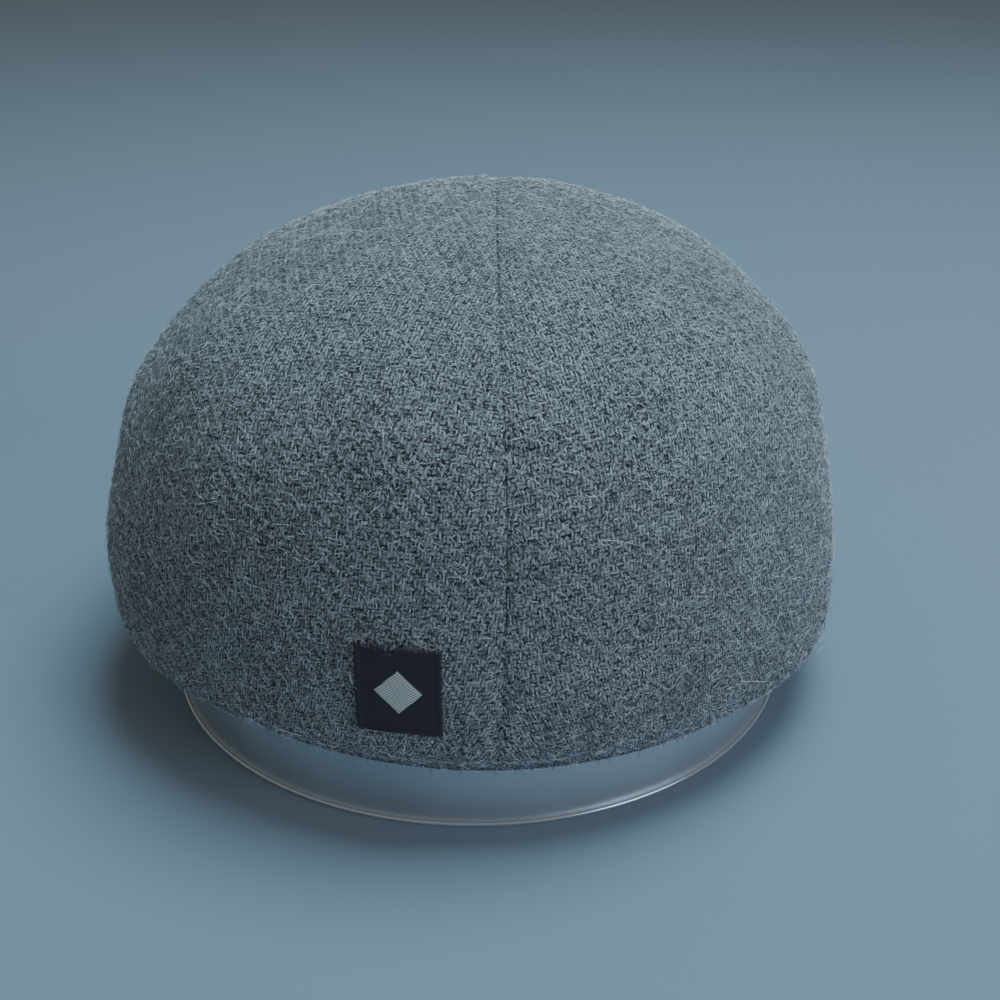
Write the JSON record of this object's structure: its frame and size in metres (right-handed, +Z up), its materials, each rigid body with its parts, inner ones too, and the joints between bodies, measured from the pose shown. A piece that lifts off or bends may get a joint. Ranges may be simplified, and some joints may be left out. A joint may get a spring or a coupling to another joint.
{
  "type": "flat cap on a display stand",
  "caption": "Grey wool twill flat cap with a centre back seam and a small woven label, resting on a plain round drum stand.",
  "frame": {"origin": "centre of the stand's flat underside", "axes": "+Z up, +Y towards the cap's peak, +X to the cap's right side as seen from behind"},
  "size_m": [0.1991, 0.2614, 0.1318],
  "materials": {
    "wool": "woven twill with a soft nap",
    "label_weave": "flat woven",
    "stand_shell": "satin"
  },
  "bodies": {
    "root": {"crown_left_panel": "wool", "crown_right_panel": "wool", "peak": "wool", "woven_label": "label_weave", "stand": "stand_shell"}
  },
  "joints": []
}
